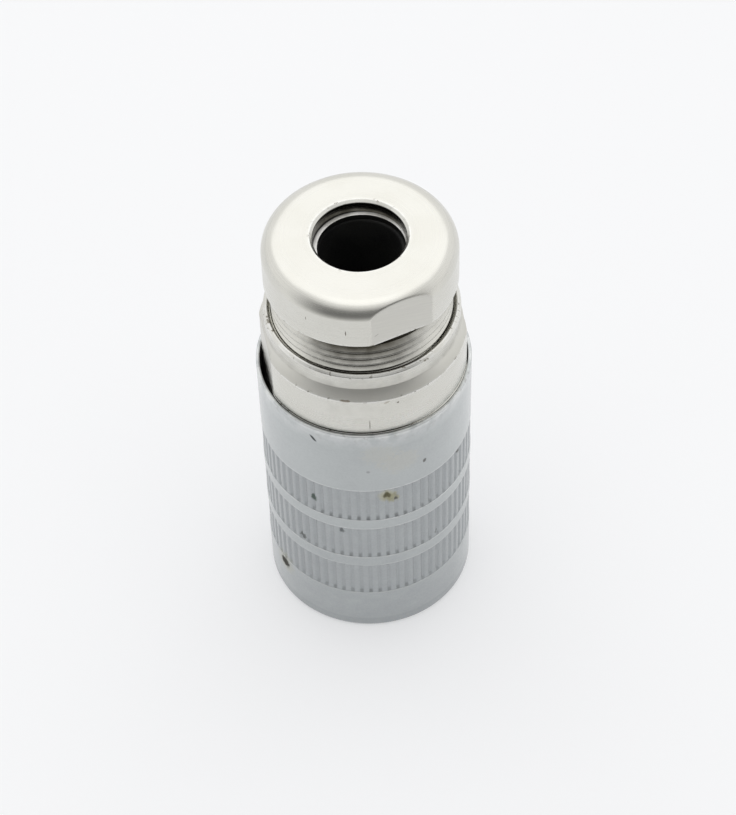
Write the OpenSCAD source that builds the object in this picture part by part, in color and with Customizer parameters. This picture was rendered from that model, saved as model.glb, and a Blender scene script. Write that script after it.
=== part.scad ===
// Circular connector plug: a fluted coupling sleeve that turns on the plug body, a cable clamp
// nut with its gland, and a contact insert with pins inside the front shell.
// Millimetres. +Z runs along the plug's axis towards the cable, and z = 0 is the front face of
// the sleeve, which is the face the plug stands on. The view from the front looks along +Y.

/* [Coupling sleeve] */
// Length of the coupling sleeve
sleeve_len = 36.35; // [35:0.05:42]
// Plain collar behind the grip bands, which runs over the plug body
sleeve_rear_len = 9.75; // [8.5:0.05:12]
// Wall of the sleeve's thin rear edge around the plug body
sleeve_lip = 0.42; // [0.25:0.01:0.8]
// Chamfer of that edge
sleeve_rear_chamfer = 0.2; // [0.05:0.01:0.2]
// Rounding of the sleeve's front edge
sleeve_front_radius = 0.7; // [0.2:0.1:1.2]
// Length of the coupling thread from the front face
coupling_len = 9; // [6:0.1:10]
// Pitch of the coupling thread
coupling_pitch = 1; // [0.75:0.25:1.5]
// Depth of the coupling thread outside its core
coupling_thread_depth = 0.5; // [0.3:0.05:0.6]
// Chamfer at the mouth of the coupling thread
mouth_chamfer = 0.5; // [0.3:0.1:0.7]
// Step from the body wall in to the chamber behind the coupling thread
chamber_step = 1.05; // [0.9:0.05:1.3]
// Depth of that chamber outside the thread's core
chamber_depth = 0.6; // [0.4:0.1:0.7]
// Thickness of the sleeve's inner collar, which pulls on the shell's flange
collar_t = 3; // [1.5:0.1:4]
// Length of solid sleeve between the bands and the wide rear bore
rear_bore_setback = 0.9; // [0.5:0.1:1.5]

/* [Grip bands] */
// Number of fluted bands
band_count = 3; // [1:1:3]
// Length of one fluted band
band_len = 5.4; // [4:0.1:6]
// Length of the plain ridge between two bands
ridge_len = 1.7; // [1:0.1:3]
// Depth of the bands below the plain collars
band_recess = 0.05; // [0.02:0.01:0.15]
// Number of flutes around a band
flute_count = 70; // [40:2:90]
// Depth of a flute
flute_depth = 0.2; // [0.1:0.05:0.4]
// Share of the flute pitch that the flute's mouth takes
flute_mouth_ratio = 0.52; // [0.4:0.02:0.8]
// Share of the flute pitch that the flute's floor takes
flute_floor_ratio = 0.2; // [0.1:0.02:0.36]
// Direction of the first flute about the axis
flute_angle = 1.85; // [0:0.05:9]

/* [Plug body] */
// Diameter of the body wall, which every other diameter follows
body_d = 23.3; // [21:0.1:26]
// Body wall in view between the sleeve and the cone
body_show_len = 5.35; // [3:0.05:9]
// Length of the cone above the body wall
cone_len = 1.35; // [0.8:0.05:3]
// Length of the neck, up to the rim
neck_len = 2.15; // [1.2:0.05:4]
// Wall of the body around the gland bore
gland_wall = 1.6; // [1.4:0.05:1.9]
// Wall of the neck around the gland bore
neck_wall = 0.85; // [0.85:0.05:1.2]
// Radial width of the chamfer outside the rim
rim_taper = 0.4; // [0.05:0.05:0.4]
// Height of that chamfer
rim_taper_h = 0.45; // [0.2:0.05:1]
// Chamfer inside the rim
rim_chamfer = 0.4; // [0.2:0.05:0.4]
// Depth of the body's wrench flats below the body wall
body_flat_cut = 0.65; // [0.4:0.05:0.75]
// Direction of the body's wrench flats about the axis
body_flat_angle = 10.1; // [0:0.1:180]
// Height of the flats' lower end above the o-ring groove
body_flat_rise = 1.5; // [1:0.1:3]
// Height of the shadow groove above the sleeve's rear edge
seam_groove_h = 0.2; // [0.2:0.05:1]
// Depth of the shadow groove
seam_groove_depth = 0.5; // [0.2:0.05:0.6]
// Length of shell that is screwed into the body
shell_screw_len = 6.2; // [5:0.1:8]
// Width of the shelf at the bottom of the gland bore
gland_shelf = 3.05; // [2.7:0.05:3.4]
// Width of the ledge that holds the insert in the shell
ledge_w = 2.1; // [1.4:0.1:2.3]
// Thickness of that ledge
ledge_t = 1.5; // [0.8:0.1:2.5]
// Depth of the gland bore below the rim
gland_depth = 11.7; // [10.5:0.05:12.5]
// Section of the o-ring that steadies the sleeve
o_ring_t = 1.4; // [1:0.1:1.6]
// Height of the o-ring above the step in the body
o_ring_rise = 1.8; // [1.2:0.1:2.2]

/* [Clamp nut] */
// Step from the nut's thread out to its head
head_step = 0.68; // [0.5:0.02:0.9]
// Height of the nut's head
nut_head_h = 5.95; // [5:0.05:9]
// Rounding of the head's upper edge
head_radius = 1.9; // [0.5:0.1:2.5]
// Depth of the nut's wrench flats below the wall of its head
nut_flat_cut = 0.65; // [0.4:0.05:0.7]
// Direction of the nut's wrench flats about the axis
nut_flat_angle = 114.6; // [0:0.1:180]
// Gap between the nut's head and the body's rim, which is the nut's way in
nut_gap = 4.45; // [2:0.05:5]
// Pitch of the nut's thread
thread_pitch = 1; // [0.75:0.25:1.5]
// Depth of the nut's thread
thread_depth = 0.55; // [0.3:0.05:0.6]
// Plain relief between the head and the thread
relief_len = 1.1; // [0.6:0.1:2]
// Thickness of the nut's top around the cable bore
nut_top_t = 1.35; // [1.2:0.05:2.2]
// Radial setback of the nut's cable bore from the grommet's hole
nut_bore_setback = 0.55; // [0.3:0.05:0.9]
// Chamfer of that bore
nut_bore_chamfer = 0.33; // [0.1:0.01:0.8]
// Wall of the nut's skirt under the thread
nut_wall = 1.02; // [0.9:0.02:1.2]

/* [Cable gland] */
// Thickness of the thrust washer under the nut's top
washer_t = 1; // [0.5:0.1:1.5]
// Radial setback of the washer edge from the grommet edge, so that it lies loose
washer_inset = 0.3; // [0.1:0.05:0.5]
// Radial setback of the washer's hole from the grommet's hole
washer_setback = 0.1; // [0.05:0.05:0.2]
// Thickness of the cage's base ring
cage_base_t = 2; // [1:0.1:3]
// Length of the cage's fingers
cage_finger_len = 9.5; // [6:0.1:10.5]
// Thickness of the cage's fingers
cage_finger_t = 1.1; // [0.7:0.1:1.4]
// Number of slots that part the fingers
cage_slots = 8; // [4:1:12]
// Width of a slot
cage_slot_w = 1.4; // [0.6:0.1:2]
// Thickness of the shield ferrule's flange
ferrule_flange_t = 1; // [0.6:0.1:1.6]
// Radial gap between the shield ferrule's tube and the wiring chamber
ferrule_gap = 1.1; // [0.8:0.05:1.4]
// Wall of the shield ferrule's tube
ferrule_wall = 0.7; // [0.4:0.1:0.9]
// Radial setback of the shield ferrule's bore from the grommet's hole, which grips the cable
ferrule_setback = 0.7; // [0.4:0.1:0.9]
// Wiring room between the shield ferrule and the solder cups
wiring_room = 2.2; // [1:0.1:4]

/* [Front shell] */
// Setback of the shell's nose from the sleeve's front face
nose_setback = 1.5; // [0.5:0.1:3]
// Length of the shell's nose, up to its flange
nose_len = 10.5; // [10:0.1:13]
// Chamfer of the nose's outer edge
nose_chamfer = 0.4; // [0.1:0.1:0.8]
// Width of the shell's flange around its tube
flange_w = 1.4; // [1.2:0.05:1.6]
// Wall of the shell around the insert
shell_wall = 1; // [0.9:0.05:1.2]
// Width of the shoulder that the insert rests on
seat_shoulder = 0.5; // [0.3:0.05:0.7]
// Depth of the mating cavity from the nose's end
cavity_len = 7.5; // [6.5:0.1:9]
// Thickness of the shell's flange
flange_t = 2.5; // [1.5:0.1:4]
// Width of the coding key in the mating cavity
key_w = 1.6; // [0.8:0.1:2.4]
// Height of the coding key above the cavity wall
key_h = 0.6; // [0.3:0.1:0.7]
// Thickness of the seal on the flange
seal_t = 1.2; // [0.6:0.1:1.5]
// Radial width of the seal
seal_w = 1.1; // [0.6:0.1:1.2]

/* [Insert and contacts] */
// Thickness of the front insulator
front_insulator_t = 8; // [5:0.1:9]
// Thickness of the ring that locks the insert
lock_ring_t = 1.3; // [0.6:0.1:2.5]
// Radial width of that ring
lock_ring_w = 1; // [0.6:0.1:1.1]
// Setback of the contacts' axes from the insert's edge
contact_inset = 2.45; // [2.2:0.05:3]
// Diameter of a contact pin
pin_d = 1.5; // [1:0.1:1.6]
// Setback of the pins' tips from the nose's end
pin_setback = 1; // [0.5:0.1:3]
// Diameter of the collar that holds a contact in the insert
pin_collar_d = 2.2; // [1.9:0.1:2.4]
// Thickness of that collar
pin_collar_t = 0.9; // [0.4:0.1:1.4]
// Diameter of a contact's solder cup
cup_d = 1.8; // [1.5:0.1:1.9]
// Length of a solder cup behind the insert
cup_len = 4.1; // [3.6:0.1:4.6]
// Wall of a solder cup
cup_wall = 0.3; // [0.2:0.05:0.4]

/* [Clearances] */
// Radial clearance of turning and screwed fits
run_gap = 0.08; // [0.04:0.01:0.1]
// Radial clearance of pieces that are put in by hand
loose_gap = 0.05; // [0.02:0.01:0.1]
// Radial clearance of the gland's pieces inside the clamp nut
gland_gap = 0.2; // [0.1:0.05:0.3]
// Radial clearance of the shell's flange inside the coupling thread
flange_gap = 0.1; // [0.05:0.05:0.3]
// Radial clearance of the body's skirt inside the sleeve
skirt_gap = 0.3; // [0.2:0.05:0.6]
// End play of the coupling sleeve, on each side of its collar
end_play = 0.3; // [0.1:0.05:0.6]
// Room under the nut's skirt when the nut is fully home
skirt_end_gap = 0.35; // [0.3:0.05:1]

/* [Hidden] */
CONTACT_COUNT = 8;
CONTACT_NODES = [for (i = [1 : CONTACT_COUNT]) str("contact_pin_", i)];
$fn = 96;
// Run-out of a cutter past the face that it cuts
over = 1;

// Heights along the axis, from the sleeve's front face towards the cable
band_pitch = band_len + ridge_len;
bands_top = sleeve_len - sleeve_rear_len;
bands_z = bands_top - band_count * band_pitch + ridge_len;
flange_z = nose_setback + nose_len;
flange_top = flange_z + flange_t;
collar_z = flange_top + end_play;
collar_top = collar_z + collar_t;
body_z = collar_top + end_play;
shell_top = body_z + shell_screw_len;
rear_bore_z = bands_top + rear_bore_setback;
body_step_z = rear_bore_z + end_play;
o_ring_z = body_step_z + o_ring_rise;
o_ring_top = o_ring_z + o_ring_t + 2 * loose_gap;
body_flat_z = o_ring_top + body_flat_rise;
cone_z = sleeve_len + body_show_len;
neck_z = cone_z + cone_len;
rim_z = neck_z + neck_len;
gland_z = rim_z - gland_depth;
nut_head_z = rim_z + nut_gap;
nut_top_z = nut_head_z + nut_head_h;
nut_end_z = gland_z + nut_gap + skirt_end_gap;
nut_ceiling_z = nut_top_z - nut_top_t;
washer_z = nut_ceiling_z - washer_t;
cage_z = gland_z + ferrule_flange_t;
cage_base_top = cage_z + cage_base_t;
cage_top = cage_base_top + cage_finger_len;
insert_z = nose_setback + cavity_len;
insert_mid_z = insert_z + front_insulator_t;
insert_top_z = shell_top - lock_ring_t;
pin_tip_z = nose_setback + pin_setback;
cup_end_z = insert_top_z + cup_len;
ferrule_end_z = cup_end_z + wiring_room;

// Radii that fits share, from the body wall inwards and outwards
body_r = body_d / 2;
rear_bore_r = body_r + run_gap;
sleeve_r = rear_bore_r + sleeve_lip;
chamber_r = body_r - chamber_step;
coupling_core_r = chamber_r - chamber_depth;
flange_r = coupling_core_r - flange_gap;
skirt_r = chamber_r - skirt_gap;
shell_r = flange_r - flange_w;
seat_r = shell_r - shell_wall;
cavity_r = seat_r - seat_shoulder;
insert_r = seat_r - loose_gap;
contact_circle_r = insert_r - contact_inset;
body_screw_r = shell_r + loose_gap;
o_ring_floor_r = body_r - o_ring_t - loose_gap;
gland_r = body_r - gland_wall;
neck_r = gland_r + neck_wall;
thread_crest_r = gland_r - run_gap;
thread_root_r = thread_crest_r - thread_depth;
head_r = thread_crest_r + head_step;
nut_cavity_r = thread_root_r - nut_wall;
cage_r = nut_cavity_r - gland_gap;
finger_bore_r = cage_r - cage_finger_t;
wiring_r = gland_r - gland_shelf;
ferrule_tube_r = wiring_r - ferrule_gap;
ferrule_bore_r = ferrule_tube_r - ferrule_wall;
grommet_hole_r = ferrule_bore_r - ferrule_setback;
nut_bore_r = grommet_hole_r + nut_bore_setback;

metal_nickel = [0.79, 0.78, 0.75];
metal_satin = [0.63, 0.66, 0.68];
metal_bright = [0.74, 0.73, 0.70];
plated_gold = [0.83, 0.67, 0.32];
rubber_black = [0.05, 0.05, 0.05];
moulded_dark = [0.16, 0.17, 0.17];
moulded_light = [0.72, 0.70, 0.62];

// Solid of revolution from an outline of [radius, height] points
module turned(outline) {
    rotate_extrude() polygon(outline);
}

// Plain ring between two radii
module ring(outer_r, inner_r, z, height) {
    turned([[inner_r, z], [outer_r, z], [outer_r, z + height], [inner_r, z + height]]);
}

// Straight round bar or hole between two heights
module bar(r, z, top) {
    translate([0, 0, z]) cylinder(r = r, h = top - z);
}

// Cutter that rounds the outer edge at radius r of a face at height z
// up is 1 for an upper edge and -1 for a lower one
module edge_round(r, z, round_r, up) {
    low = up > 0 ? z - round_r : z - over;
    rotate_extrude() difference() {
        translate([r - round_r, low]) square(round_r + over);
        translate([r - round_r, z - up * round_r]) circle(r = round_r);
    }
}

// Pair of cutters that leaves two parallel flats, each at that distance from the axis
module flat_cutters(distance, angle, r, z, top) {
    for (side = [0, 180])
        rotate(angle + side) translate([distance, -r, z]) cube([r, 2 * r, top - z]);
}

// Point on a grip band's section, at a share of a pitch past flute i
function band_point(i, share, r) =
    let (angle = flute_angle + 360 / flute_count * (i + share)) [r * cos(angle), r * sin(angle)];

// Section of a grip band: straight-sided flutes around a circle
module band_section(crest_r) {
    floor_r = crest_r - flute_depth;
    polygon([for (i = [0 : flute_count - 1]) each [
        band_point(i, flute_mouth_ratio / 2, crest_r),
        band_point(i, 1 - flute_mouth_ratio / 2, crest_r),
        band_point(i, 1 - flute_floor_ratio / 2, floor_r),
        band_point(i, 1 + flute_floor_ratio / 2, floor_r)]]);
}

// Outline of a thread that leaves radius from_r for to_r once in each pitch, as ring grooves
// Crest and root take a fifth of the pitch each, and the two flanks the rest
function thread_outline(from_r, to_r, pitch, z, length) =
    [for (i = [0 : floor(length / pitch) - 1]) each [
        [to_r, z + (i + 0.3) * pitch],
        [to_r, z + (i + 0.5) * pitch],
        [from_r, z + (i + 0.8) * pitch],
        [from_r, z + (i + 1) * pitch]]];

// Everything inside the sleeve: coupling thread, chamber, inner collar and wide rear bore
module sleeve_bore() {
    thread_r = coupling_core_r + coupling_thread_depth;
    thread_len = coupling_len - mouth_chamfer;
    turned(concat(
        [[0, -over],
         [coupling_core_r + mouth_chamfer + over, -over],
         [coupling_core_r, mouth_chamfer]],
        thread_outline(coupling_core_r, thread_r, coupling_pitch, mouth_chamfer, thread_len),
        [[coupling_core_r, coupling_len],
         [chamber_r, coupling_len + chamber_depth],
         [chamber_r, collar_z],
         [shell_r + run_gap, collar_z],
         [shell_r + run_gap, collar_top],
         [chamber_r, collar_top],
         [chamber_r, rear_bore_z],
         [rear_bore_r, rear_bore_z],
         [rear_bore_r, sleeve_len + over],
         [0, sleeve_len + over]]));
}

module coupling_sleeve() {
    chamfer_r = sleeve_r - sleeve_rear_chamfer;
    color(metal_satin) difference() {
        union() {
            bar(sleeve_r, 0, bands_z);
            for (i = [0 : band_count - 1])
                translate([0, 0, bands_z + i * band_pitch])
                    linear_extrude(band_len) band_section(sleeve_r - band_recess);
            for (i = [1 : 1 : band_count - 1])
                bar(sleeve_r, bands_z + i * band_pitch - ridge_len, bands_z + i * band_pitch);
            bar(sleeve_r, bands_top, sleeve_len);
        }
        sleeve_bore();
        edge_round(sleeve_r, 0, sleeve_front_radius, -1);
        turned([
            [chamfer_r, sleeve_len],
            [sleeve_r + over, sleeve_len - sleeve_rear_chamfer - over],
            [sleeve_r + over, sleeve_len + over],
            [chamfer_r, sleeve_len + over]]);
    }
}

module front_shell() {
    key_floor_r = cavity_r - key_h;
    color(metal_nickel) {
        turned([
            [cavity_r, nose_setback],
            [shell_r - nose_chamfer, nose_setback],
            [shell_r, nose_setback + nose_chamfer],
            [shell_r, flange_z],
            [flange_r, flange_z],
            [flange_r, flange_top],
            [shell_r, flange_top],
            [shell_r, shell_top],
            [seat_r, shell_top],
            [seat_r, insert_z],
            [cavity_r, insert_z]]);
        // Coding key along the back of the mating cavity
        intersection() {
            translate([-key_w / 2, key_floor_r, nose_setback])
                cube([key_w, key_h + seat_shoulder, cavity_len]);
            bar(cavity_r + seat_shoulder / 2, nose_setback, insert_z);
        }
    }
}

module interface_seal() {
    color(rubber_black)
        ring(shell_r + loose_gap + seal_w, shell_r + loose_gap, flange_z - seal_t, seal_t);
}

// Puts its children at the place of contact i
module at_contact(i) {
    rotate(360 / CONTACT_COUNT * (i + 0.5)) translate([contact_circle_r, 0, 0]) children();
}

module front_insulator() {
    color(moulded_light) difference() {
        bar(insert_r, insert_z, insert_mid_z);
        for (i = [0 : CONTACT_COUNT - 1]) at_contact(i) {
            bar(pin_d / 2 + loose_gap, insert_z - over, insert_mid_z + over);
            bar(pin_collar_d / 2 + loose_gap, insert_mid_z - pin_collar_t, insert_mid_z + over);
        }
    }
}

module rear_insulator() {
    color(moulded_light) difference() {
        bar(insert_r, insert_mid_z, insert_top_z);
        for (i = [0 : CONTACT_COUNT - 1]) at_contact(i)
            bar(cup_d / 2 + loose_gap, insert_mid_z - over, insert_top_z + over);
    }
}

module insert_lock_ring() {
    color(moulded_dark) ring(insert_r, insert_r - lock_ring_w, insert_top_z, lock_ring_t);
}

// Turned contact: rounded pin, holding collar and a solder cup that is open to the outside
module contact(i) {
    pin_r = pin_d / 2;
    cup_r = cup_d / 2;
    color(plated_gold) at_contact(i) difference() {
        union() {
            translate([0, 0, pin_tip_z + pin_r]) sphere(r = pin_r);
            bar(pin_r, pin_tip_z + pin_r, insert_mid_z);
            bar(pin_collar_d / 2, insert_mid_z - pin_collar_t, insert_mid_z);
            bar(cup_r, insert_mid_z, cup_end_z);
        }
        bar(cup_r - cup_wall, cup_end_z - cup_len / 2, cup_end_z + over);
        translate([0, -cup_d, cup_end_z - cup_len / 4]) cube([cup_d, 2 * cup_d, cup_len]);
    }
}

module plug_body() {
    ledge_r = body_screw_r - ledge_w;
    seam_r = body_r - seam_groove_depth;
    seam_z = sleeve_len - seam_groove_h / 2;
    seam_top = sleeve_len + seam_groove_h;
    color(metal_nickel) difference() {
        turned([
            [body_screw_r, body_z],
            [skirt_r, body_z],
            [skirt_r, body_step_z],
            [body_r, body_step_z],
            [body_r, o_ring_z],
            [o_ring_floor_r, o_ring_z],
            [o_ring_floor_r, o_ring_top],
            [body_r, o_ring_top],
            [body_r, seam_z],
            [seam_r, seam_z],
            [seam_r, seam_top],
            [body_r, seam_top],
            [body_r, cone_z],
            [neck_r, neck_z],
            [neck_r, rim_z - rim_taper_h],
            [neck_r - rim_taper, rim_z],
            [gland_r + rim_chamfer, rim_z],
            [gland_r, rim_z - rim_chamfer],
            [gland_r, gland_z],
            [wiring_r, gland_z],
            [wiring_r, shell_top + ledge_t],
            [ledge_r, shell_top + ledge_t],
            [ledge_r, shell_top],
            [body_screw_r, shell_top]]);
        flat_cutters(body_r - body_flat_cut, body_flat_angle, body_d, body_flat_z, rim_z);
    }
}

module sleeve_o_ring() {
    section_r = o_ring_t / 2;
    color(rubber_black) rotate_extrude()
        translate([body_r - section_r, o_ring_z + loose_gap + section_r]) circle(r = section_r);
}

module shield_ferrule() {
    color(metal_bright) turned([
        [ferrule_bore_r, ferrule_end_z],
        [ferrule_tube_r, ferrule_end_z],
        [ferrule_tube_r, gland_z],
        [cage_r, gland_z],
        [cage_r, cage_z],
        [ferrule_bore_r, cage_z]]);
}

module clamp_cage() {
    color(moulded_dark) difference() {
        turned([
            [ferrule_bore_r, cage_z],
            [cage_r, cage_z],
            [cage_r, cage_top - cage_finger_t],
            [cage_r - cage_finger_t / 2, cage_top],
            [finger_bore_r, cage_top],
            [finger_bore_r, cage_base_top],
            [ferrule_bore_r, cage_base_top]]);
        for (i = [0 : cage_slots - 1])
            rotate(360 / cage_slots * i)
                translate([finger_bore_r - over, -cage_slot_w / 2, cage_base_top])
                    cube([cage_finger_t + 2 * over, cage_slot_w, cage_finger_len + over]);
    }
}

module sealing_grommet() {
    stem_r = finger_bore_r - loose_gap;
    color(rubber_black) turned([
        [grommet_hole_r, cage_base_top],
        [stem_r, cage_base_top],
        [stem_r, cage_top],
        [cage_r, cage_top],
        [cage_r, washer_z],
        [grommet_hole_r, washer_z]]);
}

module thrust_washer() {
    color(metal_bright)
        ring(cage_r - washer_inset, grommet_hole_r + washer_setback, washer_z, washer_t);
}

module clamp_nut() {
    thread_len = nut_head_z - relief_len - nut_end_z;
    color(metal_nickel) difference() {
        turned(concat(
            [[nut_cavity_r, nut_end_z], [thread_root_r, nut_end_z]],
            thread_outline(thread_root_r, thread_crest_r, thread_pitch, nut_end_z, thread_len),
            [[thread_root_r, nut_head_z],
             [head_r, nut_head_z],
             [head_r, nut_top_z],
             [nut_bore_r + nut_bore_chamfer, nut_top_z],
             [nut_bore_r, nut_top_z - nut_bore_chamfer],
             [nut_bore_r, nut_ceiling_z],
             [nut_cavity_r, nut_ceiling_z]]));
        edge_round(head_r, nut_top_z, head_radius, 1);
        flat_cutters(head_r - nut_flat_cut, nut_flat_angle, 2 * head_r, nut_head_z, nut_top_z);
    }
}

coupling_sleeve();
front_shell();
interface_seal();
front_insulator();
rear_insulator();
insert_lock_ring();
plug_body();
sleeve_o_ring();
shield_ferrule();
clamp_cage();
sealing_grommet();
thrust_washer();
clamp_nut();
for (i = [0 : CONTACT_COUNT - 1])
    contact(i);
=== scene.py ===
import math

import bpy
import numpy as np
from mathutils import Matrix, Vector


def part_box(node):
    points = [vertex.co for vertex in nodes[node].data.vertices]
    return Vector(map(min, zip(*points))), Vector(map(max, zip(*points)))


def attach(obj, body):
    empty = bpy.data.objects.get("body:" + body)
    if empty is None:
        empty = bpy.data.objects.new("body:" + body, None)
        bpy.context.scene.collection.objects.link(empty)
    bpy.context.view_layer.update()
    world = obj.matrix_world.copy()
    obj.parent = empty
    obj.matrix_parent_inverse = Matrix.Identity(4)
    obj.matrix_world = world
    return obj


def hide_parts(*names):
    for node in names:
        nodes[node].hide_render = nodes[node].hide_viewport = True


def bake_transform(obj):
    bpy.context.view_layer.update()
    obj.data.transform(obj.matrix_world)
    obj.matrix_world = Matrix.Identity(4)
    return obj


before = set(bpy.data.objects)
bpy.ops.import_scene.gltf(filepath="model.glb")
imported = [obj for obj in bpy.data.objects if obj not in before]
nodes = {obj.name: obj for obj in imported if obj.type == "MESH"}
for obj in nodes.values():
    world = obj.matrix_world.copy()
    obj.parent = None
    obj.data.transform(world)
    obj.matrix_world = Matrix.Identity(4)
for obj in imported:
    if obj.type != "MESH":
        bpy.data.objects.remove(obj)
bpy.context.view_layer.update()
scene = bpy.context.scene
scene.view_settings.view_transform = "Standard"
mm = 0.001
fullTurn = 2 * math.pi
print("frame loaded:", len(nodes), "nodes")


# Lowest and highest point of a node, and its radius about the plug's axis, all in mm
def spanOf(node):
    low, high = np.array(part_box(node)) / mm
    return low[2], high[2], max(high[:2].max(), -low[:2].min())


def unit(vectors):
    return vectors / np.maximum(np.linalg.norm(vectors, axis=-1, keepdims=True), 1e-9)


# Rises from 0 to 1 between low and high, level at both ends
def smooth(value, low, high):
    share = np.clip((value - low) / (high - low), 0, 1)
    return share * share * (3 - 2 * share)


# Corners are (radius, height, rounding) in mm, counter-clockwise, so that the solid lies on the left.
# A corner becomes an arc tangent to both of its sides. A straight run gets a point near each end, so that
# shading, wear and painted shade stay close to the corner, and points a step apart between them.
# Gives columns: radius, height, rubAndHighlight (1 on outer edges), grimeAndShade (1 in inner corners, as
# painted shade in them); both fade along runs.
outlining = {"arcStep": 0.15, "arcPoints": 3, "bendSine": 0.1, "widestWornEdge": 0.5,
             "wearAndShadeFade": (0.15, 0.45), "nearShare": 0.4}


def roundedOutline(corners, step=1.5, near=(0.12, 0.4)):
    s = outlining
    spots = np.array(corners, float)
    place, rounding = spots[:, :2], spots[:, 2:]
    before = unit(np.roll(place, 1, 0) - place)
    after = unit(np.roll(place, -1, 0) - place)
    half = np.arccos(np.clip((before * after).sum(1, keepdims=True), -1, 1)) / 2
    reach = rounding / np.tan(half)  # corner to tangent point
    start, end = place + before * reach, place + after * reach
    centre = place + unit(before + after) * rounding / np.sin(half)
    bend = before[:, 1] * after[:, 0] - before[:, 0] * after[:, 1]  # sine of the turn, above 0 if outer
    outer = (bend > s["bendSine"]) & (rounding[:, 0] < s["widestWornEdge"])
    wornAndShaded = np.stack([outer, bend < -s["bendSine"]], 1).astype(float)
    fade = np.array(s["wearAndShadeFade"])
    rows = []
    for i in range(len(spots)):
        a, b = start[i] - centre[i], end[i] - centre[i]
        swing = math.atan2(a[0] * b[1] - a[1] * b[0], a @ b)
        count = s["arcPoints"] + int(abs(swing) * rounding[i, 0] / s["arcStep"]) if rounding[i, 0] > 0 else 1
        turn = math.atan2(a[1], a[0]) + swing * np.linspace(0, 1, count)
        arc = centre[i] + rounding[i] * np.stack([np.cos(turn), np.sin(turn)], 1)
        rows.append(np.hstack([arc, np.tile(wornAndShaded[i], (count, 1))]))
        ahead = (i + 1) % len(spots)
        run = start[ahead] - end[i]
        length = np.linalg.norm(run)
        ends = np.array([d for d in near if d < s["nearShare"] * length])
        along = np.unique(np.concatenate([ends, length - ends, np.arange(step, length - step / 2, step)]))
        fromHere = np.clip(1 - along[:, None] / fade, 0, 1) * wornAndShaded[i]
        fromNext = np.clip(1 - (length - along)[:, None] / fade, 0, 1) * wornAndShaded[ahead]
        points = end[i] + np.outer(along / max(length, 1e-9), run)
        rows.append(np.hstack([points, np.maximum(fromHere, fromNext)]))
    return np.split(np.vstack(rows), 4, axis=1)


# Evenly spaced angles round the axis, with a few more beside each edge of a wrench flat. In degrees,
# besideEdge is how far those lie from it; columns closer together than closest are thinned.
spacing = {"besideEdge": (-1.2, -0.6, -0.25, -0.1, 0.1, 0.25, 0.6, 1.2), "closest": 0.04}


def anglesRound(count, edges=()):
    angles = [np.arange(count) * fullTurn / count]
    for edge in edges:
        angles.append(edge + np.radians(spacing["besideEdge"]))
    angles = np.sort(np.mod(np.concatenate(angles), fullTurn))
    gap = np.diff(np.append(angles, angles[0] + fullTurn))
    return angles[gap > math.radians(spacing["closest"])]


# Angles round a piece with two wrench flats, whose edges lie where the cosine of the angle from the flat's
# normal is its distance over the radius; beside them that distance and the normal
def flatColumns(s, radius):
    distance, normal = radius - s["flatCut"], math.radians(s["flatNormal"])
    spread = math.acos(distance / radius)
    edges = [normal + side + swing for side in (0, math.pi) for swing in (-spread, spread)]
    return anglesRound(s["columns"], edges), distance, normal


# A flat at a distance from the axis is the radius distance / cos(angle to its normal). The surface takes the
# smaller of that and its own radius, blended over soft mm so that the edge is slightly broken.
# The second result is 1 where the flat was milled away.
def cutFlats(radius, angles, distance, normal, soft):
    limit = distance / np.maximum(np.abs(np.cos(angles - normal)), 1e-3)
    cut = 0.5 * (radius + limit - np.sqrt((radius - limit) ** 2 + soft ** 2))
    return cut, np.clip((radius - limit) / soft, 0, 1)


# Radius and height arrays (outline rows by angle columns) to points round the axis
def pointsRound(radius, height, angles):
    return np.stack([radius * np.cos(angles), radius * np.sin(angles), height + 0 * angles], -1)


# A ridge carried along a helix. Its section stands on the radius fromR and reaches toR; halfSection is half
# of it from foot to crest, in shares of the depth and of the pitch, with its polish. At both ends the ridge
# sinks and narrows to nothing over fadeTurns. grimeAndShade is the dirt and painted shade above, on and below
# the crest.
# The section runs downwards for an outside thread and upwards for an inside one, so that it faces out.
thread = {
    "halfSection": ((0.0, 0.44, 0.0), (0.07, 0.40, 0.0), (0.93, 0.12, 0.5), (1.0, 0.07, 1.0)), "sunk": 0.02,
    "fadeTurns": 1 / 3, "perTurn": 150, "rubAndHighlight": 0.25, "grimeAndShade": (0.66, 0.46, 0.32),
}


def threadRidge(s, fromR, toR, pitch, low, high, startTurn=0.0):
    depth = toR - fromR
    deep = -s["sunk"] * np.sign(depth)
    share, side, polish = np.array(s["halfSection"]).T
    out = np.concatenate([[deep, deep], share * depth, share[::-1] * depth])
    up = np.concatenate([[side[0], -side[0]], -side, side[::-1]]) * pitch
    rubAndHighlight = np.concatenate([[0, 0], polish, polish[::-1]])
    if depth > 0:
        out, up, rubAndHighlight = out[::-1], up[::-1], rubAndHighlight[::-1]
    turns = (high - low) / pitch - 1
    t = np.linspace(0, turns * fullTurn, int(turns * s["perTurn"]))[:, None]
    fade = smooth(np.minimum(t, turns * fullTurn - t), 0, s["fadeTurns"] * fullTurn)
    radius = fromR + deep + (out - deep) * fade
    height = low + pitch * (0.5 + t / fullTurn) + up * fade
    above, crest, below = s["grimeAndShade"]
    root = np.where(up > 0, above, below)
    grimeAndShade = root + (crest - root) * np.abs(out / depth)
    angle = t + startTurn * fullTurn
    points = np.stack([radius * np.cos(angle), radius * np.sin(angle), height], -1)
    return points, {"rubAndHighlight": s["rubAndHighlight"] * rubAndHighlight, "grimeAndShade": grimeAndShade}


# Painted shade goes by this share: 1 at the front, falling to 0 with the cosine of the angle from it
frontShadeRange = (0.7, 1.0)


def shadeAtFront(angles):
    return smooth(-np.sin(angles), *frontShadeRange)


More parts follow.
